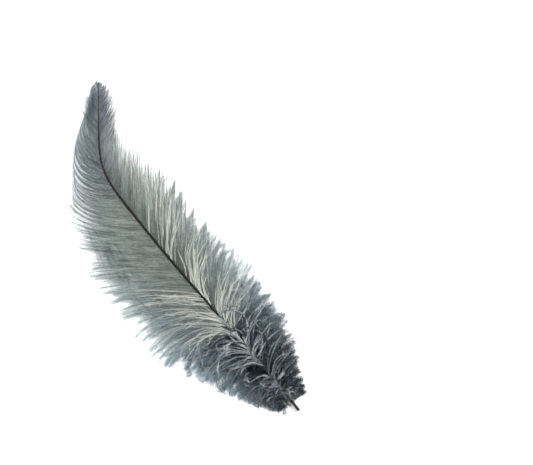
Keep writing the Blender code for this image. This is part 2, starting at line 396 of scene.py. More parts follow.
def fluff_mesh(made, draw, look):
    """Barbules: narrow bent kites along both sides of each strand."""
    paths, uv, lengths, stations = made
    counts = np.maximum(2, (lengths[:, 0] / look.spacing).astype(int))
    strand = np.repeat(np.arange(len(paths)), counts)
    spot = np.concatenate([middles(count) for count in counts])
    spot = spot + draw.normal(0, BLADE_JITTER, len(spot)) / counts[strand]
    spot = np.concatenate([spot, spot + 0.5 / counts[strand]])[:, None]
    sign = np.repeat([-1, 1], len(strand))[:, None]
    strand = np.tile(strand, 2)
    spot = np.clip(look.bare + (1 - look.bare) * spot, 0, 0.999)
    if look.thinned:
        kept = draw.random(spot.shape) < 1 - missing(look.thinned, stations[strand], spot)
        strand, spot, sign = (values[kept[:, 0]] for values in (strand, spot, sign))
    place = spot[:, 0] * (paths.shape[1] - 1)
    i = place.astype(int)
    f = (place - i)[:, None]
    start, base_uv = (rows[strand, i] * (1 - f) + rows[strand, i + 1] * f for rows in (paths, uv))
    along = unit(paths[strand, i + 1] - paths[strand, i])
    side = unit(np.cross(along, UP)) * sign
    over = unit(np.cross(side, along)) * sign
    over = np.where(over[:, 2:] < 0, -over, over)

    size = spot.shape
    station, length = stations[strand], lengths[strand]
    long = np.interp(station, *look.length) * np.interp(spot, ALONG, look.along)
    long = long * np.exp(draw.normal(0, BLADE_LENGTH_SPREAD, size))
    if look.stretch:
        long = long * look.stretch(station, spot)
    angle = np.radians(np.interp(spot, *look.angle) + draw.normal(0, look.fan, size))
    lift = draw.normal(look.lift, look.scatter, size)
    first = unit(np.cos(angle) * along + np.sin(angle) * side + lift * over)
    bend = draw.normal(look.bend, look.curl, size)
    droop = draw.normal(look.droop, look.scatter, size)
    second = unit(first + bend * along + droop * UP)
    middle = start + first * (0.5 * long)
    tip = middle + second * (0.5 * long)
    roll = draw.normal(0, BLADE_ROLL_SPREAD, size)
    wide = unit(np.cross(first, over)) * np.cos(roll) + over * np.sin(roll)
    wide = wide * (look.width * draw.uniform(*BLADE_WIDTHS, size) * 0.5)
    points = np.stack([start, middle - wide, middle + wide, tip], 1)
    points[:, :, 2] = np.maximum(points[:, :, 2], FLOOR_CLEARANCE)

    outward = np.cos(angle) * long / length / UV_SHARE_SPAN
    shift = np.hstack([sign * BLADE_SHIFT / SHAFT_LENGTH, outward])
    across = np.hstack([np.zeros(size), BLADE_PATTERN_WIDTH / length])
    half = base_uv + shift * 0.5
    blade_uv = np.stack([base_uv, half - across, half + across, base_uv + shift], 1)
    corner = np.arange(len(strand))[:, None] * 4
    blocks = [corner + three for three in ([0, 1, 2], [1, 3, 2])]
    return points, blocks, np.clip(blade_uv, *UV_LIMITS)


def thin_radii(length, steps, thick, fine):
    """Radii that fall from thick to fine, and are smaller where strands are short."""
    part = parts(steps)
    return (thick * (1 - part) + fine * part) * np.sqrt(length / length.max())


STRAND_POINT = 0.00004


def strand_pieces(title, made, thick, look, material, node, seed):
    """A piece of stems and a piece of their barbules."""
    paths, uv, length, _ = made
    stems = "barbs" if node == "down" else "strands"
    tubes = tube_mesh(paths, thin_radii(length, paths.shape[1], thick, STRAND_POINT), uv)
    mesh_piece(f"{title}_{stems}", tubes, material, True, node)
    blades = fluff_mesh(made, default_rng(seed), look)
    mesh_piece(f"{title}_barbules", blades, material, False, node)


# --- strands in vane coordinates
def strand_uv(root, share):
    """A strand keeps its root's station, so that a pattern tells it from its neighbours."""
    uv = np.stack(np.broadcast_arrays(root / SHAFT_LENGTH, share / UV_SHARE_SPAN), -1)
    return np.clip(uv, *UV_LIMITS)


def strands(side, root, station, share, height, lift, reach):
    """Paths, uv, lengths and roots, for strands as long as a share reach of their barbs."""
    x, y = PLANS[side](station, share)
    z = np.maximum(height(side, station, share) + lift, FLOOR_CLEARANCE * 2)
    length = barb_numbers(side, root)[0] * reach
    return np.stack([x, y, z], -1), strand_uv(root, share), length, root


def waves(draw, size, part, swing, turns):
    """A swing from side to side along each strand."""
    phase = draw.uniform(0, 2 * np.pi, size)
    turns = draw.uniform(*turns, size)
    return draw.normal(0, swing, size) * np.sin(phase + 2 * np.pi * turns * part)


def wander(draw, size, part, swing):
    """A slow drift from side to side that grows along each strand."""
    return waves(draw, size, part, swing, (0.6, 1.6)) * part


BUNDLE_SPREAD = (0.65, 1.35)
BUNDLE_MARGIN = 0.001


def find_bundles(draw, root, span, width):
    """The edges of bundles of neighbouring strands, and for each strand its bundle and the middle of
    that. width gives their usual width."""
    edges = [span[0] - BUNDLE_MARGIN]
    while edges[-1] < span[1] + BUNDLE_MARGIN:
        edges.append(edges[-1] + width(edges[-1]) * draw.uniform(*BUNDLE_SPREAD))
    edges = np.array(edges)
    bundle = np.searchsorted(edges, root) - 1
    return edges, bundle, (edges[bundle] + edges[np.minimum(bundle + 1, len(edges) - 1)]) / 2


# --- the vanes
# Each row: station in mm, width of a bundle in mm, the share of a barb at which its bundle parts from
# the next, how closely the bundle's barbs meet at its point, and by how much some fall short of it.
BUNDLES = {
    LEFT: (
        (80, 2.7, 0.5, 0.86, 0.36), (110, 3.4, 0.56, 0.92, 0.42), (190, 3.6, 0.56, 0.92, 0.38),
        (206, 5.4, 0.34, 0.92, 0.18), (252, 5, 0.3, 0.9, 0.22), (264, 2.2, 0.35, 0.6, 0.34),
        (336, 1.2, 0.3, 0.2, 0.3),
    ),
    RIGHT: (
        (80, 2.6, 0.45, 0.8, 0.46), (150, 2.2, 0.52, 0.84, 0.5), (205, 2.4, 0.46, 0.85, 0.4),
        (225, 2.4, 0.44, 0.8, 0.2), (250, 2.2, 0.42, 0.8, 0.2), (264, 2.4, 0.3, 0.7, 0.36),
        (336, 1.8, 0.25, 0.6, 0.3),
    ),
}

# How far the longest bundles reach, as a share of a full barb, at stations in metres.
FURTHEST = {
    LEFT: (
        (0.08, 0.12, 0.15, 0.17, 0.2, 0.215, 0.23, 0.26, 0.3),
        (1.06, 1.06, 1.08, 1.14, 1.15, 1.13, 1.05, 1.07, 1.1),
    ),
    RIGHT: ((0.1, 0.25, 0.27, 0.3), (1.05, 1.05, 1.08, 1.1)),
}

# Where barbules are missing, in the open-combed edge, the fringe and the tip: the share of them by
# station, the share of a barb from which that holds, and over how much it sets in.
THINNED = {
    LEFT: (
        ((0.195, 0.212, 0.256, 0.275), (0, 0.78, 0.78, 0), 0.35, 0.25),
        ((0.07, 0.09, 0.19, 0.205), (0.1, 0.4, 0.62, 0.3), 0.66, 0.22),
        ((0.262, 0.285), (0, 0.65), 0.5, 0.35),
    ),
    RIGHT: (
        ((0.185, 0.215, 0.258, 0.27), (0, 0.72, 0.72, 0), 0.4, 0.35),
        ((0.255, 0.27), (0, 0.82), 0.3, 0.4),
    ),
}

BARB_SPACING = 0.00085
BARB_STEPS = 20
BARB_REACH_SPREAD = 0.1
BARB_WANDER = 0.0005
BARB_CRIMP = 0.00022
BARB_CRIMP_TURNS = (2.5, 4.5)
BARB_LIFT = 0.0003
BUNDLE_DRIFT = 0.001
BUNDLE_LIFT = 0.0007
STRAY_CHANCE = 0.08
STRAY_CLOSENESS = (-0.6, 0.1)
STRAY_WANDER = 0.0016
STRAY_DRIFT = (-0.01, 0.003)


def missing(zones, station, spot):
    shares = [
        np.interp(station, places, share) * smooth_step((spot - onset) / width)
        for places, share, onset, width in zones
    ]
    return np.max(shares, axis=0)


def fringe_stretch(station, spot):
    """Barbules are longest at the soft lower edge, and shortest at the very tip's fine hairs."""
    low = np.interp(station, (0.06, 0.1, 0.15, 0.19), (1.8, 1.3, 1, 0))
    high = np.interp(station, (0.245, 0.27), (0, 1))
    return 1 + smooth_step((spot - 0.55) / 0.35) * (0.75 * low - 0.45 * high)


def vane_barbs(side, seed, looseness):
    """A few barbs make a bundle, and the bundles keep to the solid's locks. A looseness over 0 keeps
    them apart within the web."""
    draw = default_rng(seed)
    span = (VANE_START, VANE_END)
    lock_edges, reaches = uneven_locks(span, VANE_LOCKS, VANE_CROWDING, LOCK_SEED + side)
    root = np.arange(VANE_START - 0.002, VANE_END, BARB_SPACING)[:, None]
    size = root.shape
    root = root + draw.normal(0, BARB_SPACING * 0.3, size)
    lock, ridge = find_lock(lock_edges, root)
    edges, bundle, middle = find_bundles(
        draw, root, (root.min(), root.max()), lambda at: read_rows(BUNDLES[side], at)[0]
    )
    _, parting, closeness, ragged = read_rows(BUNDLES[side], root)
    part = parts(BARB_STEPS)
    parted = parting * draw.uniform(0.8, 1.15, len(edges))[bundle]
    past = clamp((part - parted) / (1 - parted))
    furthest = np.interp(edges, *FURTHEST[side])
    reach = draw.uniform(furthest - BARB_REACH_SPREAD, furthest)[bundle] * reaches[lock] ** 0.3
    reach *= 1.03 - ragged * draw.random(size) ** 1.5
    stray = draw.random(size) < STRAY_CHANCE
    close = np.minimum(0.97, closeness * draw.uniform(0.75, 1.1, size))
    close = np.where(stray, draw.uniform(*STRAY_CLOSENESS, size), close)
    hold = 1 - looseness * (1 - smooth_step((part - 0.45) / 0.35))
    outer = clamp((part - VANE_WEB) / (1 - VANE_WEB)) ** 1.5
    station = root + (middle - root) * close * hold * (1 - (1 - past) ** 2.2)
    station += (ridge - middle) * 0.1 * outer
    station += draw.normal(0, BUNDLE_DRIFT, len(edges))[bundle] * past**2
    station += wander(draw, size, part, 1) * np.where(stray, STRAY_WANDER, BARB_WANDER)
    crimp = waves(draw, size, part, BARB_CRIMP, BARB_CRIMP_TURNS)
    station += crimp * np.minimum(1, part * 5)
    station += np.where(stray, draw.uniform(*STRAY_DRIFT, size), 0) * outer
    bundle_lift = np.abs(draw.normal(0, BUNDLE_LIFT, len(edges)))[bundle]
    lift = draw.normal(0, BARB_LIFT, size) * np.minimum(1, part * 4)
    lift += bundle_lift * smooth_step(part / 0.85)
    share = part * (1 + (reach - 1) * past)
    return strands(side, root, station, share, vane_height, lift, reach)


VANE_FLUFF = Fluff(
    spacing=0.00032, bare=0.01, width=0.00014,
    length=(
        (0.08, 0.12, 0.16, 0.22, 0.26, 0.3, 0.336),
        (0.0034, 0.0031, 0.0025, 0.0021, 0.0019, 0.0016, 0.0011),
    ),
    along=(0.6, 1, 1, 0.7, 0.3), angle=((0, 0.7, 1), (28, 23, 18)), fan=9,
    scatter=0.16, curl=0.2, droop=-0.05, stretch=fringe_stretch,
)
# Each layer of a vane: its name, the gain on its colours and the contrast between its strands.
VANE_LAYERS = (("core", 0.5, 0.3), ("barb", 0.35, 0.3), ("barbule", 1.2, 0.35))
VANE_HALFWAY = (VANE_START + VANE_END) / 2 - 0.02
CORE_WIDTH = 0.001
CORE_LOOSENESS = 0.7
CORE_DEPTH = 0.0003
# A stem's radii at its root and at its point, when it is heavy and when it is fine.
HEAVY_STEM = (0.00021, 0.00016)
FINE_STEM = (0.00009, 0.00005)
HEAVY_CHANCE = 0.45


def core_widths(root):
    """Cores are widest where the barbs are one sheet, and thin where the bundles have parted."""
    part = parts(BARB_STEPS)
    whole = np.interp(part, (0, 0.1, 0.6, 0.8, 1), (0.5, 1, 0.9, 0.32, 0.03))
    combed = np.interp(part, (0, 0.1, 0.35, 0.55, 1), (0.5, 1, 0.85, 0.3, 0.04))
    low = np.interp(root, (0.185, 0.205), (1, 0))
    return (whole * low + combed * (1 - low)) * CORE_WIDTH


def make_vane(side, seed):
    """Three layers follow each barb: a flat core, a fine dark stem on it, and the barbules."""
    node = f"{SIDE_NAMES[side]}_vane"
    core, stem, barbule = (vane_material(f"{node}_{name}", side, *look) for name, *look in VANE_LAYERS)
    made = vane_barbs(side, seed, 0)
    paths, uv, length, root = made
    core_paths = vane_barbs(side, seed, CORE_LOOSENESS)[0] - UP * CORE_DEPTH
    draw = default_rng(seed + 1)
    wide = core_widths(root) * draw.uniform(0.75, 1.2, root.shape)
    roll = draw.normal(0, 0.45, root.shape)
    roll = roll + draw.normal(0, 0.35, root.shape) * parts(BARB_STEPS)
    heavy = draw.random(root.shape) < HEAVY_CHANCE
    thick, fine = (np.where(heavy, *radii) for radii in zip(HEAVY_STEM, FINE_STEM))
    tubes = tube_mesh(paths, thin_radii(length, BARB_STEPS, thick, fine), uv)
    mesh_piece(f"{node}_cores", ribbon_mesh(core_paths, wide, roll, uv), core, True, node)
    mesh_piece(f"{node}_barbs", tubes, stem, True, node)
    look = VANE_FLUFF._replace(thinned=THINNED[side])
    lower = root[:, 0] < VANE_HALFWAY
    for name, chosen in (("lower", lower), ("upper", ~lower)):
        blades = fluff_mesh([values[chosen] for values in made], draw, look)
        mesh_piece(f"{node}_{name}_barbules", blades, barbule, False, node)


# --- strands that lie free on the feather
NET_STEP = 0.002
NET_SHARES = 28
NET_REACH = 1.12
NET_NEIGHBOURS = 3
NET_SOFTNESS = 0.0005


def surface_reader():
    """A function for the height of the feather's upper face at any place in plan."""
    station = np.arange(0, SHAFT_LENGTH, NET_STEP)[:, None]
    share = np.linspace(0, NET_REACH, NET_SHARES)
    places = np.concatenate([np.stack(plan(station, share), -1) for plan in PLANS.values()])
    heights = np.concatenate([over_both(side, station, share) for side in PLANS]).ravel()
    tree = kdtree.KDTree(len(heights))
    for index, (x, y) in enumerate(places.reshape(-1, 2)):
        tree.insert((x, y, 0), index)
    tree.balance()

    def read(x, y):
        found = []
        for place in zip(x.ravel(), y.ravel(), np.zeros(x.size)):
            near = tree.find_n(place, NET_NEIGHBOURS)
            weights = [1 / (distance + NET_SOFTNESS) for _, _, distance in near]
            high = sum(w * heights[index] for w, (_, index, _) in zip(weights, near))
            found.append(high / sum(weights))
        return np.reshape(found, x.shape)

    return read


surface_height = surface_reader()


def lift_over_shaft(paths, gap):
    """Raise every point that lies over the shaft onto its round back."""
    points = paths.reshape(-1, 3)
    apart = (points[:, :1] - PATH[0]) ** 2 + (points[:, 1:2] - PATH[1]) ** 2
    square = apart.min(axis=1)
    station = STATIONS[apart.argmin(axis=1)]
    reach = (shaft_radius(station) + gap) ** 2
    top = shaft_height(station) + np.sqrt(np.maximum(0, reach - square))
    high = np.where(square < reach, np.maximum(points[:, 2], top), points[:, 2])
    return np.column_stack([points[:, :2], high]).reshape(paths.shape)


def free_strands(side, root, offset, bend, length, reach, depth, gap, rise):
    """Strands that leave the shaft at root and go their own way, by the angles to it in bend. They
    lie at a share depth of the feather's height, over the shaft with a gap, and are then raised."""
    steps = bend.shape[1]
    x, y, heading = beside_shaft(side, root, offset)
    x, y = walk(x, y, heading + side * bend, length / steps)
    paths = lift_over_shaft(np.stack([x, y, surface_height(x, y) * depth], -1), gap)
    paths[..., 2] += rise
    return paths, strand_uv(root, parts(steps + 1) * reach), length, root


def free_bend(draw, tuft, steps, first, last, power, sway):
    """Angles from first to last along each strand, and a sway that the strands of a tuft share."""
    part = middles(steps - 1)
    tufts = (tuft.max() + 1, 1)
    turns = draw.uniform(0.5, 1.5, tufts)[tuft]
    swing = np.sin(2 * np.pi * (draw.random(tufts)[tuft] + turns * part))
    return first + (last - first) * part**power + sway * swing


# --- the down
DOWN_STEPS = 18
UNDER_SPACING = 0.0005
UNDER_DEPTH = (0.05, 0.7)
UNDER_REACH = (0.8, 1)
UNDER_CLUMPING = 0.2
UNDER_WANDER = 0.0026
UNDER_CURL = 0.001
UNDER_END = DOWN_END + 0.004


def down_barbs(side, seed):
    """Soft strands that start at the shaft at some height within the dome, and keep to its locks."""
    draw = default_rng(seed)
    span = (DOWN_START, DOWN_END)
    reaches = uneven_locks(span, DOWN_LOCKS, 1, DOWN_SEED + side)[1]
    edges = uneven_locks(span, DOWN_LOCKS, 1, DOWN_SEED)[0]
    root = np.arange(DOWN_START, UNDER_END, UNDER_SPACING)[:, None]
    size = root.shape
    root = np.clip(root + draw.normal(0, UNDER_SPACING, size), DOWN_START, UNDER_END)
    lock, ridge = find_lock(edges, root)
    part = parts(DOWN_STEPS)
    reach = reaches[lock] * draw.uniform(*UNDER_REACH, size)
    share = part * reach
    station = root + (ridge - root) * draw.uniform(0, UNDER_CLUMPING, size) * part**2
    station += wander(draw, size, part, UNDER_WANDER)
    depth = draw.uniform(*UNDER_DEPTH, size)
    lift = -(1 - depth) * down_top(station, share) * np.minimum(1, part * 2.5) * 0.8
    lift += draw.normal(0, UNDER_CURL, size) * np.sin(part * 2 * np.pi)
    return strands(side, root, station, share, down_height, lift, reach)


PLUMES_IN_TUFT = 4
TUFT_SPREAD = 0.0016
PLUME_GAP = 0.00035
PLUME_RISE = 0.0011


def plumes(side, count, depths, wildness, reaches, crossing, seed):
    """Curling strands of the down's upper layers, a few to a tuft. wildness scales how far they stray
    from the barbs below, and a share crossing of the tufts set out from the shaft's far flank."""
    draw = default_rng(seed)
    size = (count, 1)
    tufts = (count // PLUMES_IN_TUFT, 1)
    tuft = np.arange(count) % tufts[0]

    def stray(spread):
        """What a whole tuft strays by, and then each of its plumes."""
        each = draw.normal(0, spread * 0.35, size)
        return (draw.normal(0, spread, tufts)[tuft] + each) * wildness

    root = draw.uniform(DOWN_START + 0.004, DOWN_END + 0.012, tufts)[tuft]
    root = np.clip(root + draw.normal(0, TUFT_SPREAD, size), DOWN_START, DOWN_END + 0.014)
    full, first, last, _ = barb_numbers(side, root)
    reach = draw.uniform(*reaches, size)
    crossing = (draw.random(tufts) < crossing)[tuft]
    offset = np.where(crossing, -0.85 * shaft_radius(root), flank(root))
    first = np.where(crossing, first * draw.uniform(0.2, 0.9, tufts)[tuft], first) + stray(0.34)
    last = last * draw.uniform(0.6, 1, tufts)[tuft] + stray(0.45)
    power = draw.uniform(0.8, 1.5, size)
    sway = draw.uniform(0.15, 0.55, size) * wildness
    bend = free_bend(draw, tuft, DOWN_STEPS, first, last, power, sway)
    bend += stray(1.6) * smooth_step((middles(DOWN_STEPS - 1) - 0.5) / 0.5)
    depth = draw.uniform(*depths, tufts)[tuft]
    rise = np.abs(draw.normal(0, PLUME_RISE, tufts))[tuft] + draw.uniform(0, 0.0004, size)
    rise = rise * np.sin(parts(DOWN_STEPS) * np.pi)
    return free_strands(side, root, offset, bend, full * reach, reach, depth, PLUME_GAP, rise)


UNDER_FLUFF = Fluff(
    spacing=0.00045, bare=0.02, width=0.0002, length=((0, 0.08), (0.0028, 0.0036)),
    along=(0.7, 1, 1.1, 1.1, 0.8), angle=((0, 1), (48, 26)), fan=12,
    scatter=0.35, curl=0.4, droop=-0.1,
)
PLUME_FLUFF = Fluff(
    spacing=0.00028, bare=0.02, width=0.00013, length=((0, 0.08), (0.0014, 0.0019)),
    along=(0.7, 1, 1, 0.9, 0.6), angle=((0, 1), (26, 20)), fan=9,
    scatter=0.2, curl=0.3, lift=0.05,
)

# Each layer of the down: the radius of its strands, their barbules, their colours at the shaft and at
# the far end, then the one that some have throughout, and the share of those. The near-black colours
# at the shaft and the under layer's dark ones are the down's slate with painted shade deep among the
# strands, and the plume layer's pale third colour is a painted highlight.
DOWN_LAYERS = {
    "under": (
        0.00012, UNDER_FLUFF, (0.004, 0.007, 0.011), (0.225, 0.285, 0.325), (0.014, 0.021, 0.028), 0.46,
    ),
    "middle": (
        0.00012, PLUME_FLUFF, (0.009, 0.014, 0.019), (0.14, 0.18, 0.205), (0.07, 0.09, 0.104), 0.45,
    ),
    "plume": (
        0.00016, PLUME_FLUFF, (0.018, 0.025, 0.032), (0.11, 0.138, 0.155), (0.5, 0.53, 0.545), 0.42,
    ),
}


def make_down():
    for side, seed, count in ((LEFT, 31, 56), (RIGHT, 32, 44)):
        layers = {
            "under": down_barbs(side, seed),
            "middle": plumes(side, 64, (0.5, 0.85), 0.7, (0.55, 1), 0, seed + 10),
            "plume": plumes(side, count, (0.86, 1.08), 1.15, (0.4, 0.95), 0.6, seed + 20),
        }
        for layer, made in layers.items():
            title = f"down_{SIDE_NAMES[side]}_{layer}"
            thick, look, *colours = DOWN_LAYERS[layer]
            material = down_material(title, side, *colours)
            strand_pieces(title, made, thick, look, material, "down", seed + len(layer))


# --- loose strands that lie on top
PALE_FLUFF = Fluff(
    spacing=0.00036, bare=0, width=0.00011, length=((0, 0.3), (0.0021, 0.0019)),
    along=(0.8, 1, 1, 0.8, 0.5), angle=((0, 1), (16, 14)), fan=6,
    scatter=0.1, curl=0.12, bend=0.1, lift=0.04,
)
HAIR_FLUFF = PALE_FLUFF._replace(spacing=0.0005, length=((0, 0.3), (0.001, 0.001)), width=0.00009)
LOOSE_STEPS = 24
LOOSE_LIFT = 0.0005
PALE_BUNDLE = 0.0062
HIDDEN_DEPTH = 0.0012
HIDDEN_PART = 0.15


def from_below(part):
    """What lowers the first stretch of a strand that rises out of the vane."""
    return HIDDEN_DEPTH * clamp(1 - part / HIDDEN_PART)


def pale_strands(side, draw, span, count):
    """Some start at the shaft, and some rise out of the vane further out."""
    size = (count, 1)
    root = np.sort(draw.uniform(*span, size), axis=0)
    inside = draw.random(size) < 0.5
    begin = np.where(inside, draw.uniform(0.08, 0.5, size), 0)
    end = np.maximum(begin + 0.2, draw.uniform(0.3, 1, size))
    part = parts(LOOSE_STEPS)
    share = begin + (np.minimum(end, 1) - begin) * part
    edges, bundle, middle = find_bundles(draw, root, span, lambda at: PALE_BUNDLE)
    pull = draw.uniform(0.1, 0.9, size)
    station = root + (middle - root) * pull * np.sin(part * np.pi * 0.9)
    low = np.interp(root, (0.05, 0.12, 0.2), (1, 0.5, 0.35))
    station += wander(draw, size, part, 1) * low * 0.003
    station += draw.normal(0, 0.005, len(edges))[bundle] * part**2 * low
    station += draw.normal(0, 0.0015, size) * part
    lift = LOOSE_LIFT + draw.uniform(0, 0.0012, size) * np.sin(np.pi * part**0.7)
    lift -= inside * from_below(part)
    return strands(side, root, station, share, over_both, lift, end - begin)


def drooping_strands(side, draw, span, count):
    """Dark strands near the edge of the web that fall across the barbs, towards the foot."""
    size = (count, 1)
    root = np.sort(draw.uniform(*span, size), axis=0)
    part = parts(LOOSE_STEPS)
    begin = draw.uniform(0.52, 0.8, size)
    share = begin + draw.uniform(-0.08, 0.1, size) * part
    station = root - draw.uniform(0.018, 0.055, size) * part**1.2
    station += wander(draw, size, part, 0.005)
    lift = LOOSE_LIFT + draw.uniform(0, 0.001, size) * np.sin(np.pi * part)
    lift -= from_below(part)
    paths, uv = strands(side, root, station, share, vane_height, lift, 1)[:2]
    length = np.linalg.norm(np.diff(paths, axis=1), axis=-1).sum(axis=1)
    return paths, uv, length[:, None], root


# Each cluster: the span of its roots in mm and its number of strands.
LEFT_CLUSTERS = ((91, 96, 11), (74, 80, 9), (48, 61, 12), (18, 36, 11))
RIGHT_CLUSTERS = ((76, 92, 5), (48, 66, 6), (22, 40, 6))
CURL_CLUSTERS = ((96, 108, 9), (116, 128, 8), (138, 150, 7), (162, 170, 4))
# Limits of the power and sway of a strand's bend, of its reach and of its rise.
SWEPT_LIMITS = (0.8, 1.6), (0.04, 0.22), (0.45, 0.95), (0.0002, 0.0012)
CURL_LIMITS = (0.7, 1.3), (0.1, 0.3), (0.5, 0.95), (0.0003, 0.0014)


def cluster_roots(draw, clusters):
    return np.concatenate([draw.uniform(*span, (count, 1)) / 1000 for *span, count in clusters])


def waving_strands(side, draw, tuft, root, offset, first, last, full, gap, limits):
    """Free strands whose bend, reach and rise are drawn within limits."""
    power, sway = (draw.uniform(*pair, root.shape) for pair in limits[:2])
    bend = free_bend(draw, tuft, LOOSE_STEPS, first, last, power, sway)
    reach, rise = (draw.uniform(*pair, root.shape) for pair in limits[2:])
    return free_strands(side, root, offset, bend, full * reach, reach, 1, gap, rise)


def swept_strands(side, draw, clusters):
    """Strands that run up over the shaft's back before they fan out. It shows between clusters."""
    root = np.sort(cluster_roots(draw, clusters), axis=0)
    size = root.shape
    full, _, last, _ = barb_numbers(side, root + 0.012)
    offset = -shaft_radius(root) * draw.uniform(0.5, 1.1, size)
    first = np.radians(np.interp(root, (0.02, 0.05, 0.09), (34, 19, 13)))
    first *= draw.uniform(0.4, 1.7, size)
    last += draw.normal(0, 0.26, size)
    made = root, offset, first, last, full + 0.008
    return waving_strands(side, draw, np.arange(len(root)), *made, 0.0004, SWEPT_LIMITS)


def curling_strands(side, draw, clusters):
    """Wavy strands that swing out wider than the barbs below them."""
    root = cluster_roots(draw, clusters)
    tuft = np.repeat(np.arange(len(clusters)), [count for _, _, count in clusters])
    full, first, last, _ = barb_numbers(side, root)
    first *= draw.uniform(0.45, 1, root.shape)
    last += draw.uniform(0, 0.35, (len(clusters), 1))[tuft]
    last += draw.normal(0, 0.14, root.shape)
    made = root, flank(root), first, last, full
    return waving_strands(side, draw, tuft, *made, 0.0001, CURL_LIMITS)


TIP_START = 0.286
TIP_SPAN = SHAFT_LENGTH - 0.287
TIP_ROUND = 0.016
TIP_SWAY = 0.04


def tip_hairs(side, draw, count, past_end):
    """Fine hairs round the tip. past_end is how far past the shaft's end they may reach. Those that
    stand to the side reach less far, so the tip stays round."""
    size = (count, 1)
    root = TIP_START + TIP_SPAN * np.sort(draw.random(size), axis=0) ** 0.8
    full = barb_numbers(side, root)[0]
    first = np.radians(np.interp(root, (0.29, 0.335), (37, 16)) + draw.normal(0, 6, size))
    last = np.radians(np.interp(root, (0.29, 0.335), (18, 8)) + draw.normal(0, 9, size))
    bend = free_bend(draw, np.arange(count), DOWN_STEPS, first, last, 1, TIP_SWAY)
    length = (full + 0.003) * draw.uniform(0.8, 1.15, size)
    middle = (first + last) / 2
    aside = length * np.sin(middle)
    ahead = SHAFT_LENGTH - root + past_end * draw.uniform(-1, 1, size) - aside**2 / TIP_ROUND
    length = np.minimum(length, np.maximum(ahead, 0.0015) / np.cos(middle))
    rise = draw.uniform(-0.0002, 0.0012, size) * parts(DOWN_STEPS)
    return free_strands(side, root, flank(root), bend, length, 1, 1, 0.0001, rise)


# --- the shaft
SHAFT_RINGS = 150
SHAFT_SIDES = 16
CUT_EDGE = 0.0006
GROOVE_DEPTH = 0.22
GROOVE_WIDTH = 0.35
# The cup in the cut end: its floor and its wall, each as a share of the rim and a depth.
CUP = (0.5, 0.0016), (0.62, 0.0001)
CUP_MIDDLE = 0.0017


def make_shaft():
    """A horn rod, a little flattened, with a groove underneath, a hollow cut end and a fine point."""
    station = np.concatenate(([0], np.linspace(CUT_EDGE, SHAFT_LENGTH, SHAFT_RINGS - 1)))
    x, y, heading = beside_shaft(RIGHT, station, 0)
    radius = shaft_radius(station) * np.where(station < CUT_EDGE / 2, 0.93, 1)
    angle = np.arange(SHAFT_SIDES) * 2 * np.pi / SHAFT_SIDES
    groove = 1 - GROOVE_DEPTH * np.exp(-(((angle - 1.5 * np.pi) / GROOVE_WIDTH) ** 2))
    outline = (0.985 + 0.015 * np.cos(2 * angle)) * groove
    across = np.stack([np.cos(heading), -np.sin(heading), np.zeros(SHAFT_RINGS)], -1)
    centre = np.stack([x, y, shaft_height(station)], -1)
    reach = radius[:, None] * outline
    rings = centre[:, None] + across[:, None] * (reach * np.cos(angle))[..., None]
    rings[..., 2] += reach * np.sin(angle)

    inward = np.array([np.sin(heading[0]), np.cos(heading[0]), 0])
    cup = [centre[0] + (rings[0] - centre[0]) * share + inward * depth for share, depth in CUP]
    ends = [centre[0] + inward * CUP_MIDDLE, centre[-1]]
    points = np.concatenate([*cup, rings.reshape(-1, 3), ends])
    quads, a, b = ring_quads(SHAFT_RINGS + len(CUP), SHAFT_SIDES)
    cup_point = len(points) - 2
    last = cup_point - SHAFT_SIDES
    floor = np.stack([a, b, np.full(SHAFT_SIDES, cup_point)], -1)
    tip = np.stack([last + b, last + a, np.full(SHAFT_SIDES, cup_point + 1)], -1)
    u = np.concatenate([np.zeros(len(CUP)), station / SHAFT_LENGTH])[:, None]
    uv = np.stack(np.broadcast_arrays(u, angle / (2 * np.pi)), -1).reshape(-1, 2)
    uv = np.concatenate([uv, [[0, 0.5], [1, 0.5]]])
    arrays = points, [quads[:, [0, 3, 2, 1]], floor, tip], uv
    mesh_piece("shaft_horn", arrays, shaft_material(), True, "shaft")


# --- materials
def fill(node, values):
    for name, value in values.items():
        node.inputs[name].default_value = value


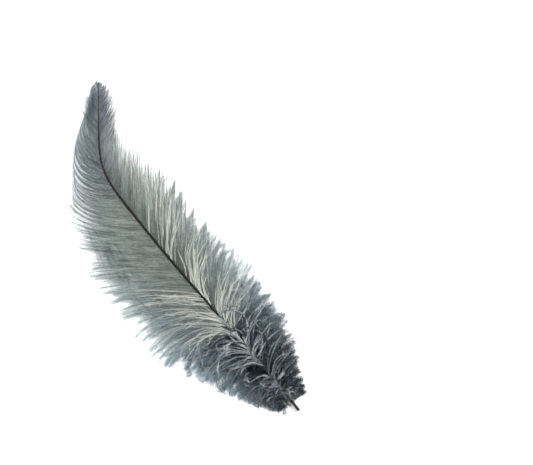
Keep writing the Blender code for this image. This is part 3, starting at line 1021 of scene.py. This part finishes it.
class Nodes:
    """Short names for building one material's node tree."""

    def __init__(self, name, roughness, specular=0.5):
        self.material = bpy.data.materials.new(name)
        self.material.use_nodes = True
        self.tree = self.material.node_tree
        self.shader = self.tree.nodes["Principled BSDF"]
        fill(self.shader, {"Roughness": roughness, "Specular IOR Level": specular})
        uv = self.add("ShaderNodeUVMap")
        uv.uv_map = "OFBake"
        self.uv = uv.outputs["UV"]
        self.u, self.v, _ = self.add("ShaderNodeSeparateXYZ", self.uv).outputs

    def add(self, kind, source=None):
        """A new node, with source linked to its first input."""
        node = self.tree.nodes.new(kind)
        if source:
            self.tree.links.new(source, node.inputs[0])
        return node

    def ramp(self, value, stops):
        """Each stop is a place, then one grey level or red, green and blue."""
        node = self.add("ShaderNodeValToRGB", value)
        elements = node.color_ramp.elements
        while len(elements) < len(stops):
            elements.new(0.5)
        for element, (place, *levels) in zip(elements, stops):
            element.position = place
            element.color = (*(levels * 3)[:3], 1)
        return node.outputs["Color"]

    def tint(self, rows, gain=1):
        """Colours along the shaft, in hundredths of its length and thousandths of red, green, blue."""
        stops = [(place / 100, *(gain * (level / 1000) for level in row)) for place, *row in rows]
        return self.ramp(self.u, stops)

    def mix(self, factor, first, second, kind="MIX"):
        node = self.add("ShaderNodeMix")
        node.data_type = "RGBA"
        node.blend_type = kind
        for index, given in ((0, factor), (6, first), (7, second)):
            if isinstance(given, bpy.types.NodeSocket):
                self.tree.links.new(given, node.inputs[index])
            else:
                node.inputs[index].default_value = (*given, 1) if index else given
        return node.outputs[2]

    def times(self, first, second):
        return self.mix(1, first, second, "MULTIPLY")

    def noise(self, stretch, detail=2):
        mapping = self.add("ShaderNodeMapping", self.uv)
        fill(mapping, {"Scale": (*stretch, 1)})
        node = self.add("ShaderNodeTexNoise", mapping.outputs["Vector"])
        fill(node, {"Scale": 1, "Detail": detail})
        return node.outputs["Fac"]

    def finish(self, colour):
        self.tree.links.new(colour, self.shader.inputs["Base Color"])
        return self.material


# For each side, the tints beside the shaft and those towards the barbs' points, from slate at the
# foot through grey-green to slate.
VANE_TINTS = {
    LEFT: (
        (
            (0, 52, 67, 83), (22, 50, 66, 71), (34, 128, 152, 142), (50, 180, 205, 176),
            (66, 199, 232, 207), (78, 116, 145, 155), (88, 155, 182, 196), (100, 180, 208, 220),
        ),
        (
            (0, 120, 160, 190), (25, 225, 290, 310), (45, 255, 305, 294), (60, 215, 268, 266),
            (72, 125, 176, 200), (85, 175, 220, 245), (93, 250, 310, 320), (100, 270, 330, 330),
        ),
    ),
    RIGHT: (
        (
            (0, 40, 52, 65), (25, 95, 118, 120), (45, 110, 128, 113), (60, 180, 212, 186),
            (75, 142, 170, 168), (85, 165, 178, 190), (100, 180, 198, 210),
        ),
        (
            (0, 90, 115, 135), (25, 155, 196, 203), (45, 185, 215, 200), (60, 285, 315, 285),
            (75, 270, 300, 280), (85, 190, 206, 220), (100, 170, 190, 203),
        ),
    ),
}
CREAM_TINTS = (
    (6, 85, 105, 120), (15, 200, 230, 240), (21, 400, 420, 395), (28, 520, 520, 455),
    (60, 460, 470, 405),
)
GREY_TINTS = (6, 30, 40, 48), (15, 70, 88, 96), (26, 220, 240, 225), (60, 200, 225, 200)
HORN_TINTS = (0, 16, 13, 11), (30, 6, 5, 4), (65, 4, 3, 2), (85, 10, 8, 7), (100, 30, 28, 28)
# Painted light: the brown to amber of the shaft's right flank, where the light falls on it.
LIT_AMBER_TINTS = (0, 85, 62, 40), (20, 72, 46, 21), (45, 30, 19, 10), (75, 8, 6, 4), (100, 30, 27, 26)
# What the dark patch on each side of the tip multiplies the colours by.
TIP_SHADE = {LEFT: (0.3, 0.34, 0.4), RIGHT: (0.62, 0.65, 0.7)}
# What darkens the down towards the quill's cut end. The further darkening on the right is painted
# shade.
DOWN_SHADE = {
    LEFT: ((0.05, 0.2), (0.13, 0.76), (0.21, 1.15)),
    RIGHT: ((0.05, 0.11), (0.13, 0.24), (0.21, 0.7)),
}


def around(contrast):
    """Stops that turn a noise into a factor round one half."""
    return (0.3, (1 - contrast) / 2), (0.7, (1 + contrast * 0.8) / 2)


def vane_material(name, side, gain, contrast):
    """One layer of a vane. gain scales its colours, and contrast is between neighbouring strands."""
    n = Nodes(name, 0.7)
    near, far = (n.tint(rows, gain) for rows in VANE_TINTS[side])
    colour = n.mix(n.ramp(n.v, ((0.25, 0), (0.8, 1))), near, far)
    # Painted shade: the colour darkens beside the shaft, where the barbs leave it.
    colour = n.times(colour, n.ramp(n.v, ((0, 0.66), (0.28, 1))))
    patch = n.ramp(n.u, ((0.84, 0), (0.88, 1), (0.94, 1), (0.97, 0)))
    across = n.ramp(n.v, ((0.1, 0), (0.28, 1), (0.48, 1), (0.64, 0)))
    colour = n.mix(n.times(patch, across), colour, n.times(colour, TIP_SHADE[side]))
    bundle = n.ramp(n.noise((90, 2.5), 1), around(contrast * 0.4))
    single = n.ramp(n.noise((270, 3), 1), around(contrast * 1.5))
    patches = n.ramp(n.noise((30, 3)), ((0.3, 0.46), (0.7, 0.53)))
    for pattern in (bundle, single, patches):
        colour = n.times(colour, pattern)
        colour = n.mix(1, colour, colour, "ADD")
    return n.finish(colour)


def down_material(name, side, inner, outer, third, share):
    """Strands from inner to outer colour along their length, and a share of them in a third. Outer
    and third darken towards the quill's cut end, and more on the right, where it is painted shade. A
    near-black inner colour is the down's slate with painted shade, and the plumes' pale third a
    painted highlight."""
    n = Nodes(name, 0.75, 0.05)
    shade = n.ramp(n.u, DOWN_SHADE[side])
    third = n.mix(0.5, third, shade, "MULTIPLY")
    base = n.mix(n.ramp(n.v, ((0.22, 0), (0.7, 1))), inner, n.times(outer, shade))
    stops = (0.66 - 0.32 * share, 0), (0.76 - 0.32 * share, 1)
    return n.finish(n.mix(n.ramp(n.noise((330, 3)), stops), base, third))


def pale_material():
    n = Nodes("cream_strand", 0.6)
    uneven = n.ramp(n.noise((420, 3)), ((0.38, 0), (0.58, 1)))
    return n.finish(n.mix(uneven, n.tint(GREY_TINTS), n.tint(CREAM_TINTS)))


def shaft_material():
    """Near black along the left, brown to amber along the right as painted light, paler at the bare
    quill.
    """
    n = Nodes("dark_horn", 0.5, 0.1)
    lit_right_side = n.ramp(n.v, ((0.02, 1), (0.13, 0.6), (0.2, 0), (0.82, 0), (0.98, 1)))
    colour = n.mix(lit_right_side, n.tint(HORN_TINTS), n.tint(LIT_AMBER_TINTS))
    return n.finish(n.times(colour, n.ramp(n.noise((60, 14), 4), ((0.3, 0.7), (0.7, 1.25)))))


# --- floor, light and camera
FLOOR_SIZE = 6
FLOOR_COLOUR = (0.86, 0.86, 0.86, 1)
SKY_COLOUR = (0.94, 0.985, 1, 1)
SKY_STRENGTH = 1.15
KEY_PLACE = (0.86, 0.06, 0.9)
KEY_SIZE = 0.5
KEY_POWER = 27


def make_floor():
    bpy.ops.mesh.primitive_plane_add(size=FLOOR_SIZE)
    floor = bpy.context.object
    floor.name = "floor"
    material = bpy.data.materials.new("white_table")
    material.use_nodes = True
    look = {"Base Color": FLOOR_COLOUR, "Roughness": 0.9}
    fill(material.node_tree.nodes["Principled BSDF"], look)
    floor.data.materials.append(material)


def make_lights():
    """A bright sky, a little cool, and one soft lamp from the right."""
    world = bpy.data.worlds.new("studio")
    world.use_nodes = True
    sky = {"Color": SKY_COLOUR, "Strength": SKY_STRENGTH}
    fill(world.node_tree.nodes["Background"], sky)
    bpy.context.scene.world = world
    data = bpy.data.lights.new("key", "AREA")
    data.shape = "DISK"
    data.size = KEY_SIZE
    data.energy = KEY_POWER
    light = add_object("key", data)
    light.location = KEY_PLACE
    light.rotation_euler = (-Vector(KEY_PLACE)).to_track_quat("-Z", "Y").to_euler()


def make_camera():
    """Straight above the photograph's middle, turned so that up in the picture is up in the photo."""
    data = bpy.data.cameras.new("camera")
    data.lens = LENS_MM
    data.sensor_width = SENSOR_MM
    data.clip_end = 10
    camera = add_object("camera", data)
    right = (PHOTO_WIDTH / 2 - QUILL_END_PIXEL[0]) * MM_PER_PIXEL / 1000
    up = (QUILL_END_PIXEL[1] - PHOTO_HEIGHT / 2) * MM_PER_PIXEL / 1000
    x = right * np.cos(PHOTO_ROLL) + up * np.sin(PHOTO_ROLL) - BOX_MIDDLE[0]
    y = up * np.cos(PHOTO_ROLL) - right * np.sin(PHOTO_ROLL) - BOX_MIDDLE[1]
    away = PHOTO_WIDTH * MM_PER_PIXEL / 1000 * LENS_MM / SENSOR_MM
    camera.matrix_world = Matrix.Translation((x, y, away)) @ Matrix.Rotation(-PHOTO_ROLL, 4, "Z")
    bpy.context.scene.camera = camera


# --- the whole
def make_loose_strands():
    """Pale strands, dark drooping ones and the hairs of the tip, which lie free on the vanes."""
    cream = pale_material()
    dark = vane_material("drooping_strand", LEFT, 0.22, 0.3)
    hair = vane_material("tip_hair", RIGHT, 0.8, 0.4)
    pale, wide = (0.00012, PALE_FLUFF, cream), (0.00016, PALE_FLUFF, cream)
    fine, droop = (0.00009, HAIR_FLUFF, hair), (0.00022, HAIR_FLUFF, dark)
    for name, make, side, *given, seed, look, blade_seed in (
        ("pale", pale_strands, LEFT, (0.075, 0.132), 34, 41, pale, 50),
        ("pale", pale_strands, RIGHT, (0.08, 0.2), 46, 42, pale, 51),
        ("swept", swept_strands, LEFT, LEFT_CLUSTERS, 43, wide, 52),
        ("swept", swept_strands, RIGHT, RIGHT_CLUSTERS, 44, wide, 53),
        ("curling", curling_strands, RIGHT, CURL_CLUSTERS, 46, wide, 54),
        ("drooping", drooping_strands, LEFT, (0.13, 0.205), 22, 45, droop, 57),
        ("tip", tip_hairs, LEFT, 60, 0.0018, 61, fine, 62),
        ("tip", tip_hairs, RIGHT, 90, 0.0032, 63, fine, 64),
    ):
        title = SIDE_NAMES[side]
        made = make(side, default_rng(seed), *given)
        strand_pieces(f"{title}_{name}", made, *look, f"{title}_vane", blade_seed)


def main():
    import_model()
    bpy.context.scene.view_settings.view_transform = "Standard"
    make_camera()
    make_floor()
    make_lights()

    make_shaft()
    make_vane(LEFT, 11)
    make_vane(RIGHT, 12)
    make_down()
    make_loose_strands()


main()
